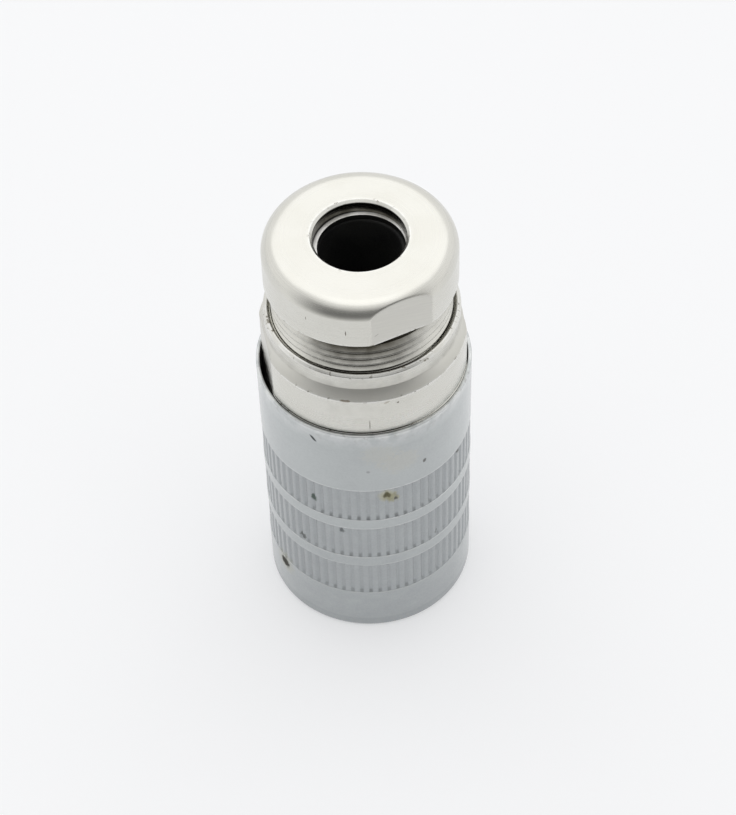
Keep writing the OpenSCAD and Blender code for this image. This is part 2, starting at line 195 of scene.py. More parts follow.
# A value given for the front and for the sides, blended in the same way
def frontToSides(pair, angles):
    return pair[1] + (pair[0] - pair[1]) * shadeAtFront(angles)


# Grids of points in mm to one mesh in metres. Columns close on themselves; rows close too if loop is set.
# Quads run along the column first, so a counter-clockwise outline faces outwards. Each grid brings its wear
# and painted shade, which becomes one attribute per name.
wearAndShadeNames = ("rubAndHighlight", "grimeAndShade", "milled", "matt", "darkDirtAndShade")


def meshFromGrids(name, grids):
    points, quads, start = [], [], 0
    wearAndShade = {key: [] for key in wearAndShadeNames}
    for grid, loop, wornAndShaded in grids:
        rows, cols = grid.shape[:2]
        index = start + np.arange(rows * cols).reshape(rows, cols)
        upper = np.roll(index, -1, 0) if loop else index[1:]
        lower = index if loop else index[:-1]
        quad = np.stack([lower, np.roll(lower, -1, 1), np.roll(upper, -1, 1), upper], -1)
        points.append(grid.reshape(-1, 3))
        quads.append(quad.reshape(-1, 4))
        for key in wearAndShadeNames:
            wearAndShade[key].append(np.broadcast_to(wornAndShaded.get(key, 0.0), (rows, cols)).ravel())
        start += rows * cols
    points, quads = np.concatenate(points) * mm, np.concatenate(quads)
    mesh = bpy.data.meshes.new(name)
    mesh.vertices.add(len(points))
    mesh.vertices.foreach_set("co", points.astype(np.float32).ravel())
    mesh.loops.add(quads.size)
    mesh.loops.foreach_set("vertex_index", quads.astype(np.int32).ravel())
    mesh.polygons.add(len(quads))
    mesh.polygons.foreach_set("loop_start", np.arange(0, quads.size, 4, dtype=np.int32))
    mesh.polygons.foreach_set("loop_total", np.full(len(quads), 4, np.int32))
    mesh.update(calc_edges=True)
    mesh.validate()
    mesh.polygons.foreach_set("use_smooth", np.ones(len(mesh.polygons), bool))
    for key in wearAndShadeNames:
        layer = mesh.attributes.new(key, "FLOAT", "POINT")
        layer.data.foreach_set("value", np.concatenate(wearAndShade[key]).astype(np.float32))
    piece = bpy.data.objects.new(name, mesh)
    scene.collection.objects.link(piece)
    print("made", name, len(quads), "quads")
    return piece


# A slack is the play, in mm, of a test for one part of an outline: outwards, then in height;
# ridgeGrimeAndShade is for the front and for the sides; headShade is how far below the head painted shade
# ends and is full
# Painted shade darkens the bore's wall, the thread's root and relief under the head, and the thread just
# below the head; on the thread it lies over dirt, most at the front
nut = {
    "headHigh": 5.95, "topRound": 2.1, "edge": 0.06, "flatCut": 0.65, "flatNormal": 114.6, "flatSoft": 0.05,
    "boreR": 5.05, "boreChamfer": 0.33, "boreRound": 0.05, "boreShade": 0.74, "boreSlack": (0.03, 0.1),
    "topThick": 1.65, "cavityR": 8.4, "cavityRound": (0.1, 0.2), "crestR": 10.03, "threadDeep": 0.61,
    "rootRound": (0.15, 0.12), "rootShade": 1.0, "rootSlack": (0.1, 0.05), "pitch": 1.0, "threadTurn": 0.61,
    "relief": 0.4, "ridgeGrimeAndShade": (1.0, 0.5), "headShadeStrength": 0.55, "headShade": (5.2, 0.2), "columns": 420,
}


def makeNut(s):
    end, top, headR = spanOf("clamp_nut")
    headLow, ceiling = top - s["headHigh"], top - s["topThick"]
    rootR, boreR, cavityR = s["crestR"] - s["threadDeep"], s["boreR"], s["cavityR"]
    radius, height, rubAndHighlight, grimeAndShade = roundedOutline([
        (cavityR, end, s["cavityRound"][0]), (rootR, end, s["rootRound"][0]),
        (rootR, headLow, s["rootRound"][1]), (headR, headLow, s["edge"]), (headR, top, s["topRound"]),
        (boreR + s["boreChamfer"], top, s["boreRound"]), (boreR, top - s["boreChamfer"], s["boreRound"]),
        (boreR, ceiling, s["boreRound"]), (cavityR, ceiling, s["cavityRound"][1])])
    angles, flatAt, normal = flatColumns(s, headR)
    radius, milled = cutFlats(radius, angles, flatAt, normal, s["flatSoft"])
    onRoot = (radius < rootR + s["rootSlack"][0]) & (height < headLow + s["rootSlack"][1])
    inBore = (radius < boreR + s["boreSlack"][0]) & (height > ceiling - s["boreSlack"][1])
    grimeAndShade = np.where(onRoot, s["rootShade"], grimeAndShade)
    grimeAndShade = np.where(inBore, s["boreShade"], grimeAndShade)
    ridge, ridgeWearAndShade = threadRidge(
        thread, rootR, s["crestR"], s["pitch"], end, headLow - s["relief"], s["threadTurn"])
    underHead = smooth(headLow - ridge[..., 2], *s["headShade"])  # painted shade under the head
    ridgeGrimeAndShade = ridgeWearAndShade["grimeAndShade"] + (1 - ridgeWearAndShade["grimeAndShade"]) * s["headShadeStrength"] * underHead
    ridgeAngles = np.arctan2(ridge[..., 1], ridge[..., 0])
    ridgeWearAndShade["grimeAndShade"] = ridgeGrimeAndShade * frontToSides(s["ridgeGrimeAndShade"], ridgeAngles)
    return meshFromGrids("clampNut", [
        (pointsRound(radius, height, angles), True, {"rubAndHighlight": rubAndHighlight, "grimeAndShade": grimeAndShade, "milled": milled}),
        (ridge, False, ridgeWearAndShade)])


# rimTaper is wide and high; wallShade, mouthShade and mouthFade are for the front and for the sides;
# seamReach is how far below the seam its painted shade goes and its closed part bulges
# Painted shade darkens the seam, the gap round the nut's thread, the wall most at the front, and the cone's
# corners; the neck is darker too
body = {
    "showLong": 5.35, "coneLong": 1.35, "coneRound": 0.15, "neckLong": 2.15, "neckR": 10.9,
    "rimTaper": (0.42, 0.42), "rimRound": 0.2, "taperRound": 0.04, "rimChamfer": 0.4,
    "glandR": 10.09, "glandDeep": 11.7, "glandRound": (0.08, 0.2), "chamberR": 7.0, "ledgeR": 6.45,
    "ledgeTop": 25.8, "shellTop": 24.3, "shellR": 8.55, "skirtR": 10.3, "step": 27.8, "round": 0.1,
    "ringLow": 29.6, "ringTop": 31.1, "ringFloorR": 10.2, "ringRound": 0.06,
    "seamHigh": 0.13, "seamDeep": 0.5, "seamRound": 0.05, "seamShade": 0.42, "seamReach": (1.0, 0.1),
    "seamClosed": -20.0, "seamFade": (0.5, 0.87), "seamBulge": 0.06,
    "flatCut": 0.65, "flatNormal": 10.1, "flatLow": 32.6, "flatSoft": 0.05, "columns": 400,
    "coneShade": 0.35, "coneReach": 0.5, "mattFall": 0.6, "neckDark": 0.33, "wallShade": (0.27, 0.1),
    "rimRub": 0.5, "mouthShade": (1.0, 0.58), "mouthFade": (0.29, 0.22), "mouthUnshaded": (0.12, 0.36),
    "wallSlack": 0.01, "lipSlack": 0.02,
}


# 1 where the sleeve sits close against the body, so that the seam between them is shut
def seamShut(angles):
    return smooth(np.cos(angles - math.radians(body["seamClosed"])), *body["seamFade"])


def makeBody(s):
    low, rim, wallR = spanOf("plug_body")
    neckLow = rim - s["neckLong"]
    coneLow = neckLow - s["coneLong"]
    sleeveTop = coneLow - s["showLong"]
    seamLow, seamTop = sleeveTop - s["seamHigh"] / 2, sleeveTop + s["seamHigh"]
    seamR, floor, chamferLow = wallR - s["seamDeep"], rim - s["glandDeep"], rim - s["rimChamfer"]
    neckR, mouthR, taperLow = s["neckR"], s["neckR"] - s["rimTaper"][0], rim - s["rimTaper"][1]
    glandR, edge, ring, seam = s["glandR"], s["round"], s["ringRound"], s["seamRound"]
    radius, height, rubAndHighlight, grimeAndShade = roundedOutline([
        (s["shellR"], low, edge), (s["skirtR"], low, edge), (s["skirtR"], s["step"], edge),
        (wallR, s["step"], edge), (wallR, s["ringLow"], ring), (s["ringFloorR"], s["ringLow"], ring),
        (s["ringFloorR"], s["ringTop"], ring), (wallR, s["ringTop"], ring),
        (wallR, seamLow, seam), (seamR, seamLow, seam), (seamR, seamTop, seam), (wallR, seamTop, ring),
        (wallR, coneLow, s["coneRound"]), (neckR, neckLow, s["coneRound"]),
        (neckR, taperLow, s["taperRound"]), (mouthR, rim, s["rimRound"]),
        (glandR, chamferLow, s["glandRound"][0]), (glandR, floor, s["glandRound"][1]),
        (s["chamberR"], floor, edge), (s["chamberR"], s["ledgeTop"], edge),
        (s["ledgeR"], s["ledgeTop"], edge), (s["ledgeR"], s["shellTop"], edge),
        (s["shellR"], s["shellTop"], edge)])
    angles, flatAt, normal = flatColumns(s, wallR)
    outside = radius > neckR - s["wallSlack"]
    onCone = outside & (height > coneLow) & (height < neckLow + s["coneReach"])
    onNeck = outside & (height > neckLow)
    onWall = (radius > wallR - s["wallSlack"]) & (height > seamTop)
    grimeAndShade = np.where(onCone, s["coneShade"] * grimeAndShade, grimeAndShade)
    grimeAndShade = np.maximum(grimeAndShade, s["neckDark"] * onNeck + frontToSides(s["wallShade"], angles) * onWall)
    matt = onCone * np.clip(1 - s["mattFall"] * (height - coneLow) / s["coneLong"], 0, 1)  # most at its foot
    reach = frontToSides(s["mouthFade"], angles)
    inMouth = smooth(radius, mouthR + reach, mouthR) * (height > floor)  # painted shade in the gap round the nut's thread
    nearThread = 1 - smooth(radius - glandR, *s["mouthUnshaded"])
    unshaded = (1 - shadeAtFront(angles)) * nearThread * (height > chamferLow)  # painted shade lifts again at the sides
    grimeAndShade = np.maximum(grimeAndShade, frontToSides(s["mouthShade"], angles) * (inMouth * (1 - unshaded)))
    onRim = (radius > mouthR - s["lipSlack"]) & (height > taperLow)
    rubAndHighlight = np.maximum(rubAndHighlight, s["rimRub"] * onRim)
    inSeam = (height < seamTop - s["lipSlack"]) & (height > seamLow - s["seamReach"][0])
    closed = seamShut(angles)
    grimeAndShade = np.where(inSeam, s["seamShade"], grimeAndShade) * (1 - closed * inSeam)
    bulging = closed * (inSeam & (height > seamLow - s["seamReach"][1]))
    radius = radius + (wallR + s["seamBulge"] - radius) * bulging
    cut, milled = cutFlats(radius, angles, flatAt, normal, s["flatSoft"])
    above = height > s["flatLow"]
    radius, milled = np.where(above, cut, radius), np.where(above, milled, 0)
    wearAndShade = {"rubAndHighlight": rubAndHighlight, "grimeAndShade": grimeAndShade, "milled": milled, "matt": matt}
    return meshFromGrids("plugBody", [(pointsRound(radius, height, angles), True, wearAndShade)])


# Flutes: fluteAt are places across one flute in shares of the pitch, fluteShape the depth there. Along the
# flute the depth rises over endLong at both ends, in the shares endRise, as the cutter leaves it.
# Dirt and painted shade: bandGrimeAndShade lies on the bands and fluteShade, painted shade, on top of it in
# the flutes; endGrimeAndShade and the dark dots of dotDirtAndShade, dirt and painted shade, fill the flutes'
# lower ends; bottomShade is painted shade over the lowest bottomShadeHigh mm; lowShade is painted shade,
# darker towards the bottom, that fades out up to lowShadeTop; painted shade goes shadeDeep into the rear
# bore.
# bandGrimeAndShade and dotDirtAndShade are for the front and for the sides.
# dotUneven is the dots' mean strength, its swing, and the swing's rate by angle and by height.
# rearHighlight is a painted highlight over the uppermost rearBright mm, and the last edgeBright mm carry a
# painted highlight too; rearRows are heights below the rear where the outline has more points for both.
sleeve = {
    "frontRound": 0.7, "rearChamfer": (0.12, 0.1), "edge": 0.03, "rearLong": 9.75, "bandLong": 5.4,
    "ridgeLong": 1.7, "bands": 3, "recess": 0.05, "bandRound": 0.015, "flutes": 70, "fluteDeep": 0.17,
    "fluteTurn": 1.85, "endLong": 0.35, "endRise": (0.35, 0.7, 1.0),
    "fluteAt": (-0.5, -0.29, -0.24, -0.11, 0.11, 0.24, 0.29), "fluteShape": (0, 0, 0.14, 1, 1, 0.14, 0),
    "threadR": 10.5, "coreR": 10.0, "threadTop": 9.0, "threadRound": 0.04, "runOut": 0.2, "pitch": 1.0,
    "chamberR": 10.6, "collarLow": 14.8, "collarTop": 17.8, "collarR": 8.58, "rearStep": 27.5,
    "rearR": 11.73, "rearRound": 0.05, "round": 0.1, "inRound": 0.08, "outerSlack": 0.1,
    "step": 4.0, "near": (0.2,),  # between the outline's points, and beside its corners
    "bandGrimeAndShade": (0.76, 1.1), "fluteShade": 0.15, "endGrimeAndShade": 1.4, "bottomShade": 0.95, "bottomShadeHigh": 1.8,
    "frontFade": 0.4, "lowShade": 0.75, "lowShadeTop": 30.0, "rearHighlight": 0.8, "rearBright": 2.5,
    "edgeBright": 0.45, "rearRows": (1.0, 0.55, 0.4, 0.16), "shadeDeep": 6.0, "shadeSlack": 0.02,
    "dotLong": 0.45, "dotDirtAndShade": (0.66, 0.3), "dotUneven": (0.8, 0.2, 17, 2.3),
}


def makeSleeve(s):
    front, rear, wallR = spanOf("coupling_sleeve")
    bandR, edge, bandRound, dull = wallR - s["recess"], s["edge"], s["bandRound"], front + s["bottomShadeHigh"]
    pitch = s["bandLong"] + s["ridgeLong"]
    lows = rear - s["rearLong"] - s["bandLong"] - pitch * np.arange(s["bands"])[::-1]
    rises = np.array(s["endRise"]) * s["endLong"]
    corners = [(s["threadR"], front, s["round"]), (wallR, front, s["frontRound"]),
               (wallR, dull, 0), (wallR, dull + s["frontFade"], 0)]
    for low in lows:
        high = low + s["bandLong"]
        corners += [(wallR, low, edge), (bandR, low, bandRound), *((bandR, low + d, 0) for d in rises)]
        corners += [(bandR, low + 2 * s["dotLong"], 0), *((bandR, high - d, 0) for d in rises[::-1])]
        corners += [(bandR, high, bandRound), (wallR, high, edge)]
    corners += [(wallR, rear - d, 0) for d in (s["rearBright"], *s["rearRows"])]
    faceR, chamberR, inner = wallR - s["rearChamfer"][0], s["chamberR"], s["inRound"]
    runOutTop = s["threadTop"] + s["runOut"]
    corners += [
        (wallR, rear - s["rearChamfer"][1], edge), (faceR, rear, edge), (s["rearR"], rear, s["rearRound"]),
        (s["rearR"], s["rearStep"], inner), (chamberR, s["rearStep"], s["round"]),
        (chamberR, s["collarTop"], inner), (s["collarR"], s["collarTop"], s["round"]),
        (s["collarR"], s["collarLow"], s["round"]), (chamberR, s["collarLow"], inner),
        (chamberR, runOutTop, s["threadRound"]), (s["threadR"], s["threadTop"], s["threadRound"])]
    radius, height, rubAndHighlight, grimeAndShade = roundedOutline(corners, s["step"], s["near"])
    numbers = np.arange(s["flutes"])[:, None] + np.array(s["fluteAt"])
    angles = (numbers * fullTurn / s["flutes"]).ravel()
    turned = angles + math.radians(s["fluteTurn"])
    shape = np.tile(np.array(s["fluteShape"]), s["flutes"])
    outside = radius > s["rearR"] + s["outerSlack"]
    fromEnd = np.minimum(height - lows, lows + s["bandLong"] - height).max(1, keepdims=True)
    rise = np.clip(fromEnd / s["endLong"], 0, 1) * outside
    depth, inBand = rise * shape, rise > 0
    atFoot, inDot = (((height > lows) & (height < lows + reach)).any(1, keepdims=True) & inBand
                     for reach in (2 * s["endLong"], s["dotLong"]))
    # Painted shade in the flutes, at their lower ends, over the lowest mm and darker towards the bottom, over
    # dirt on the bands; further down, a painted highlight on the rear of the sleeve and on its rear edge
    bandGrimeAndShade = frontToSides(s["bandGrimeAndShade"], turned) + s["fluteShade"] * depth
    grimeAndShade = np.maximum(grimeAndShade * (radius < s["rearR"]), inBand * bandGrimeAndShade)
    grimeAndShade = np.maximum(grimeAndShade, s["endGrimeAndShade"] * shape * atFoot)
    grimeAndShade = np.maximum(grimeAndShade, s["lowShade"] * outside * np.clip(1 - height / s["lowShadeTop"], 0, 1))
    grimeAndShade = np.maximum(grimeAndShade, s["bottomShade"] * outside * (height < s["bottomShadeHigh"]))
    rubAndHighlight = np.maximum(rubAndHighlight, s["rearHighlight"] * outside * np.clip(1 - (rear - height) / s["rearBright"], 0, 1))
    rubAndHighlight = np.maximum(rubAndHighlight, outside * (height > rear - s["edgeBright"]))
    darkDirtAndShade = (height > rear - s["shadeDeep"]) & (radius < faceR - s["shadeSlack"])  # painted shade on the rear face and its bore
    mean, swing, byAngle, byHeight = s["dotUneven"]
    uneven = mean + swing * np.sin(byAngle * angles + byHeight * height)
    dots = frontToSides(s["dotDirtAndShade"], turned) * uneven * shape * inDot
    darkDirtAndShade = np.maximum(darkDirtAndShade * (1 - seamShut(turned)), dots)
    ridge, ridgeWearAndShade = threadRidge(thread, s["threadR"], s["coreR"], s["pitch"], s["runOut"], runOutTop)
    return meshFromGrids("couplingSleeve", [
        (pointsRound(radius - depth * s["fluteDeep"], height, turned), True,
         {"rubAndHighlight": rubAndHighlight, "grimeAndShade": grimeAndShade, "darkDirtAndShade": darkDirtAndShade}),
        (ridge, False, ridgeWearAndShade)])


# The washer lies loose, shift off the axis; shadeStart is how far from its hole painted shade begins and is
# full
washer = {"holeR": 4.75, "shift": (0.18, -0.2), "thinner": 0.3, "shadeStart": (0.38, 0.52), "round": 0.06,
          "holeRound": 0.1, "holeSlack": (0.08, 0.04), "columns": 160}


def makeWasher(s):
    low, high, outerR = spanOf("thrust_washer")
    high, holeR = high - s["thinner"], s["holeR"]
    radius, height = roundedOutline([
        (holeR, low, s["round"]), (outerR, low, s["round"]), (outerR, high, s["round"]),
        *((holeR + d, high, 0) for d in s["shadeStart"][::-1]), (holeR, high, s["holeRound"])])[:2]
    points = pointsRound(radius, height, anglesRound(s["columns"])) + np.array([*s["shift"], 0])
    # Painted shade in the hole and beside the bore's wall
    inHole = (radius < holeR + s["holeSlack"][0]) & (height < high - s["holeSlack"][1])
    inCorner = smooth(radius - holeR, *s["shadeStart"])  # painted shade beside the bore's wall
    return meshFromGrids("thrustWasher", [(points, True, {"grimeAndShade": np.maximum(inHole, inCorner)})])


rubber = {"holeR": 4.5, "holeRound": 0.3, "stemTop": 46.0, "stemR": 7.05, "stemRound": 0.1, "round": 0.2,
          "columns": 160}


def makeGrommet(s):
    low, high, headR = spanOf("sealing_grommet")
    holeR, stemR, stemTop, edge = s["holeR"], s["stemR"], s["stemTop"], s["round"]
    radius, height = roundedOutline([
        (holeR, low, s["holeRound"]), (stemR, low, edge), (stemR, stemTop, s["stemRound"]),
        (headR, stemTop, edge), (headR, high, edge), (holeR, high, s["holeRound"])])[:2]
    points = pointsRound(radius, height, anglesRound(s["columns"]))
    return meshFromGrids("sealingGrommet", [(points, True, {})])


# Links each input or sets it; a colour is (red, green, blue)
def setInputs(tree, made, inputs):
    for key, value in inputs.items():
        socket = made.inputs[key]
        if isinstance(value, bpy.types.NodeSocket):
            tree.links.new(value, socket)
        else:
            socket.default_value = (*value, 1.0) if socket.type == "RGBA" else value
    return made


def addNode(tree, kind, inputs=None, **settings):
    made = tree.nodes.new(kind)
    for key, value in settings.items():
        setattr(made, key, value)
    return setInputs(tree, made, inputs or {})


def mathNode(tree, operation, a, b=0.0):
    return addNode(tree, "ShaderNodeMath", {0: a, 1: b}, operation=operation).outputs[0]


def timesNode(tree, a, b):
    return mathNode(tree, "MULTIPLY", a, b)


# a plus a share of b
def addShare(tree, a, b, share):
    return mathNode(tree, "ADD", a, timesNode(tree, b, share))


def vectorNode(tree, operation, a, b=None, output=0):
    inputs = {0: a} if b is None else {0: a, 1: b}
    return addNode(tree, "ShaderNodeVectorMath", inputs, operation=operation).outputs[output]


def rotateNode(tree, vector, angle, axis):
    inputs = {"Vector": vector, "Angle": angle}
    return addNode(tree, "ShaderNodeVectorRotate", inputs, rotation_type=axis + "_AXIS").outputs[0]


def rangeNode(tree, value, low, high, outLow=0.0, outHigh=1.0):
    return addNode(tree, "ShaderNodeMapRange", {
        "Value": value, "From Min": low, "From Max": high, "To Min": outLow, "To Max": outHigh},
        interpolation_type="SMOOTHSTEP").outputs["Result"]


def mixColour(tree, share, a, b):
    return addNode(tree, "ShaderNodeMix", {0: share, 6: a, 7: b}, data_type="RGBA").outputs[2]


# Lays a colour over another where the mask is, at most by the share
def layOver(tree, colour, mask, over, share):
    return mixColour(tree, timesNode(tree, mask, share), colour, over)


def noiseNode(tree, vector, scale, detail=3.0, **settings):
    inputs = {"Vector": vector, "Scale": scale, "Detail": detail}
    return addNode(tree, "ShaderNodeTexNoise", inputs, **settings).outputs[0]


def meshValueNode(tree, name):
    return addNode(tree, "ShaderNodeAttribute", attribute_name=name).outputs["Fac"]


# Every group takes the place on the piece as Vector, beside the inputs given here with their start values
def newGroup(name, inputs, outputs):
    tree = bpy.data.node_groups.new(name, "ShaderNodeTree")
    for label, value in {"Vector": (0, 0, 0), **inputs}.items():
        kind = "NodeSocketVector" if isinstance(value, tuple) else "NodeSocketFloat"
        tree.interface.new_socket(label, in_out="INPUT", socket_type=kind).default_value = value
    for label in outputs:
        tree.interface.new_socket(label, in_out="OUTPUT", socket_type="NodeSocketFloat")
    return tree, tree.nodes.new("NodeGroupInput").outputs, tree.nodes.new("NodeGroupOutput").inputs


# Turning marks: noise read at (distance from the axis, height), so it makes rings on faces and on walls
def makeTurnedMarks():
    tree, given, out = newGroup("turnedMarks", {"Fine": 7000.0, "Coarse": 800.0}, ["Fine", "Coarse"])
    axes = addNode(tree, "ShaderNodeSeparateXYZ", {0: given["Vector"]}).outputs
    flat = addNode(tree, "ShaderNodeCombineXYZ", {0: axes[0], 1: axes[1]}).outputs[0]
    away = vectorNode(tree, "LENGTH", flat, output="Value")
    place = addNode(tree, "ShaderNodeCombineXYZ", {0: away, 1: axes[2]}).outputs[0]
    for label in ("Fine", "Coarse"):
        tree.links.new(noiseNode(tree, place, given[label], noise_dimensions="2D"), out[label])
    return tree


# Milling marks: noise stretched along the flat, at a slant in degrees, after turning the flat's normal onto X
milling = {"slant": -14, "stretch": (200, 220, 5200), "detail": 4.0}


def makeMilledMarks(s):
    tree, given, out = newGroup("milledMarks", {"Turn": 0.0, "Scale": 1.0}, ["Lines"])
    turned = rotateNode(tree, given["Vector"], given["Turn"], "Z")
    slanted = rotateNode(tree, turned, math.radians(s["slant"]), "X")
    stretched = vectorNode(tree, "MULTIPLY", slanted, s["stretch"])
    tree.links.new(noiseNode(tree, stretched, given["Scale"], s["detail"]), out["Lines"])
    return tree


# Small pits: Voronoi cells, of which the share Amount carries a round dot. Its size is the part Size of a
# cell, times a draw from least up, and it fades over edge.
pitting = {"least": 0.3, "edge": (1.0, 0.55)}


def makePits(s):
    tree, given, out = newGroup("pits", {"Scale": 900.0, "Amount": 0.05, "Size": 0.2}, ["Mask"])
    cells = addNode(tree, "ShaderNodeTexVoronoi", {"Vector": given["Vector"], "Scale": given["Scale"]})
    draw = addNode(tree, "ShaderNodeSeparateColor", {0: cells.outputs["Color"]}).outputs
    chosen = mathNode(tree, "LESS_THAN", draw[0], given["Amount"])
    size = timesNode(tree, given["Size"], mathNode(tree, "ADD", draw[1], s["least"]))
    dot = rangeNode(tree, mathNode(tree, "DIVIDE", cells.outputs["Distance"], size), *s["edge"])
    tree.links.new(timesNode(tree, dot, chosen), out["Mask"])
    return tree


# One stain: turned about the axis so that it lies at the front (Turn) and about its own middle (Tilt), it
# is the distance from Centre, stretched by Size, with a ragged edge from noise; Halo is a wider ring of it
staining = {"noiseScale": 2600.0, "noiseShare": 3.0, "edge": (1.1, 0.6), "haloEdge": (2.4, 0.9)}


def makeStain(s):
    tree, given, out = newGroup("stain", {
        "Centre": (0, 0, 0), "Size": (mm, mm, mm), "Ragged": 0.5, "Turn": 0.0, "Tilt": 0.0}, ["Mask", "Halo"])
    away = rotateNode(tree, given["Vector"], given["Turn"], "Z")
    away = rotateNode(tree, vectorNode(tree, "SUBTRACT", away, given["Centre"]), given["Tilt"], "Y")
    far = vectorNode(tree, "LENGTH", vectorNode(tree, "DIVIDE", away, given["Size"]), output="Value")
    wander = mathNode(tree, "SUBTRACT", noiseNode(tree, given["Vector"], s["noiseScale"]), 0.5)
    far = addShare(tree, far, wander, timesNode(tree, given["Ragged"], s["noiseShare"]))
    tree.links.new(rangeNode(tree, far, *s["edge"]), out["Mask"])
    tree.links.new(rangeNode(tree, far, *s["haloEdge"]), out["Halo"])
    return tree


# Worn places and painted light from the mesh's own values: Rub is outer edges, worn or with a
# painted highlight, broken up by noise, Nick the small dark dents in them, DirtAndShade is dirt and painted
# shade that rises from 0 at the grimeAndShade value DarkFrom to 1 at DarkFull, shifted by noise so that its
# edge is cloudy
wearing = {"rubRange": (0.35, 0.6, 0.2, 1.0), "nickRange": (0.60, 0.68), "nickScale": 2.4, "nickDetail": 2.0}


def makeWornAndShaded(s):
    tree, given, out = newGroup("wornAndShaded", {
        "Scale": 700.0, "DarkFrom": 0.2, "DarkFull": 0.9, "Patchy": 0.5}, ["Rub", "Nick", "DirtAndShade"])
    rubAndHighlight, grimeAndShade = meshValueNode(tree, "rubAndHighlight"), meshValueNode(tree, "grimeAndShade")
    noise = noiseNode(tree, given["Vector"], given["Scale"])
    fineScale = timesNode(tree, given["Scale"], s["nickScale"])
    fine = noiseNode(tree, given["Vector"], fineScale, s["nickDetail"])
    tree.links.new(timesNode(tree, rubAndHighlight, rangeNode(tree, noise, *s["rubRange"])), out["Rub"])
    tree.links.new(timesNode(tree, rubAndHighlight, rangeNode(tree, fine, *s["nickRange"])), out["Nick"])
    patchy = addShare(tree, grimeAndShade, mathNode(tree, "SUBTRACT", noise, 0.5), given["Patchy"])
    tree.links.new(rangeNode(tree, patchy, given["DarkFrom"], given["DarkFull"]), out["DirtAndShade"])
    return tree


# Cloudy change of tone over some mm, or a fine grain where Scale is high
def makeClouds(detail=4.0):
    tree, given, out = newGroup("clouds", {"Scale": 150.0, "Low": 0.35, "High": 0.65}, ["Mask"])
    noise = noiseNode(tree, given["Vector"], given["Scale"], detail)
    tree.links.new(rangeNode(tree, noise, given["Low"], given["High"]), out["Mask"])
    return tree


groups = {"turned": makeTurnedMarks(), "milled": makeMilledMarks(milling), "pits": makePits(pitting),
          "stain": makeStain(staining), "wornAndShaded": makeWornAndShaded(wearing), "clouds": makeClouds()}
print("shader groups:", len(groups))


def newMaterial(name):
    made = bpy.data.materials.new(name)
    made.use_nodes = True
    tree = made.node_tree
    tree.nodes.clear()
    shader = tree.nodes.new("ShaderNodeBsdfPrincipled")
    tree.links.new(shader.outputs[0], tree.nodes.new("ShaderNodeOutputMaterial").inputs[0])
    return made, tree, shader, tree.nodes.new("ShaderNodeTexCoord").outputs["Object"]


def useGroup(tree, name, place, inputs):
    made = tree.nodes.new("ShaderNodeGroup")
    made.node_tree = groups[name]
    return setInputs(tree, made, {"Vector": place, **inputs}).outputs


# Lays the stains of one piece over a colour. Each is (degrees from the front towards +X, height, half width
# and half height in mm, tilt in degrees, how ragged, colour, strength, strength of the yellowish ring).
# A stain goes deep mm into the piece, and one up to the strength thin leaves the gloss as it is.
stainLaying = {"deep": 0.8, "thin": 0.5}


def stained(tree, place, colour, stains, wallR, ringColour):
    cover = 0.0
    for turn, up, wide, tall, tilt, ragged, stainColour, strength, ring in stains.values():
        spot = useGroup(tree, "stain", place, {
            "Ragged": ragged, "Size": (wide * mm, stainLaying["deep"] * mm, tall * mm),
            "Centre": (0, -wallR * mm, up * mm), "Turn": math.radians(-turn), "Tilt": math.radians(tilt)})
        if ring > 0:
            colour = layOver(tree, colour, spot["Halo"], ringColour, ring)
        mask = timesNode(tree, spot["Mask"], strength)
        colour = mixColour(tree, mask, colour, stainColour)
        if strength > stainLaying["thin"]:
            cover = mathNode(tree, "MAXIMUM", mask, cover)
    return colour, cover


# Normals from a height, by a strength and a depth in mm
def bumpNode(tree, height, strength, deep):
    inputs = {"Height": height, "Strength": strength, "Distance": deep * mm}
    return addNode(tree, "ShaderNodeBump", inputs).outputs[0]


# Worn places, and dirtAndShade (dirt with painted shade), are (colour, share); grainMix is the share of the
# fine and of the coarse turning marks
nickel = {
    "colour": (0.685, 0.677, 0.632), "dull": (0.665, 0.656, 0.607), "milled": (0.61, 0.60, 0.56),
    "rubAndHighlight": ((0.86, 0.86, 0.84), 0.7), "pit": ((0.17, 0.15, 0.12), 0.8),
    "nick": ((0.20, 0.18, 0.14), 0.85), "dirtAndShade": ((0.05, 0.044, 0.03), 0.97),
    "ringColour": (0.5, 0.42, 0.2), "lineRange": (0.3, 0.7, 1.0, 0.3), "grainMix": (0.6, 0.4),
    "roughRange": (0.3, 0.7, 0.21, 0.29), "milledRough": 0.08, "mattRough": 0.36, "stainRough": 0.25,
    "pitDeep": 2.0, "bump": (0.15, 0.004), "turned": {"Fine": 7000.0, "Coarse": 800.0},
    "clouds": {"Scale": 220.0}, "pits": {"Scale": 620.0, "Amount": 0.05, "Size": 0.15},
    "wornAndShaded": {"Scale": 700.0, "Patchy": 0.28},
}
darkMark, brownMark = (0.10, 0.085, 0.06), (0.20, 0.14, 0.07)
nutMarks = {
    "wallDash": (-9.9, 51.7, 0.07, 0.42, 0, 0.2, darkMark, 0.8, 0),
    "leftDash": (-34.1, 52.5, 0.06, 0.3, 0, 0.2, darkMark, 0.6, 0),
    "flatScratch": (7.9, 51.1, 0.3, 0.05, 25, 0.3, darkMark, 0.5, 0),
    "lowSpot": (-42.3, 48.6, 0.15, 0.15, 0, 0.3, darkMark, 0.7, 0),
}
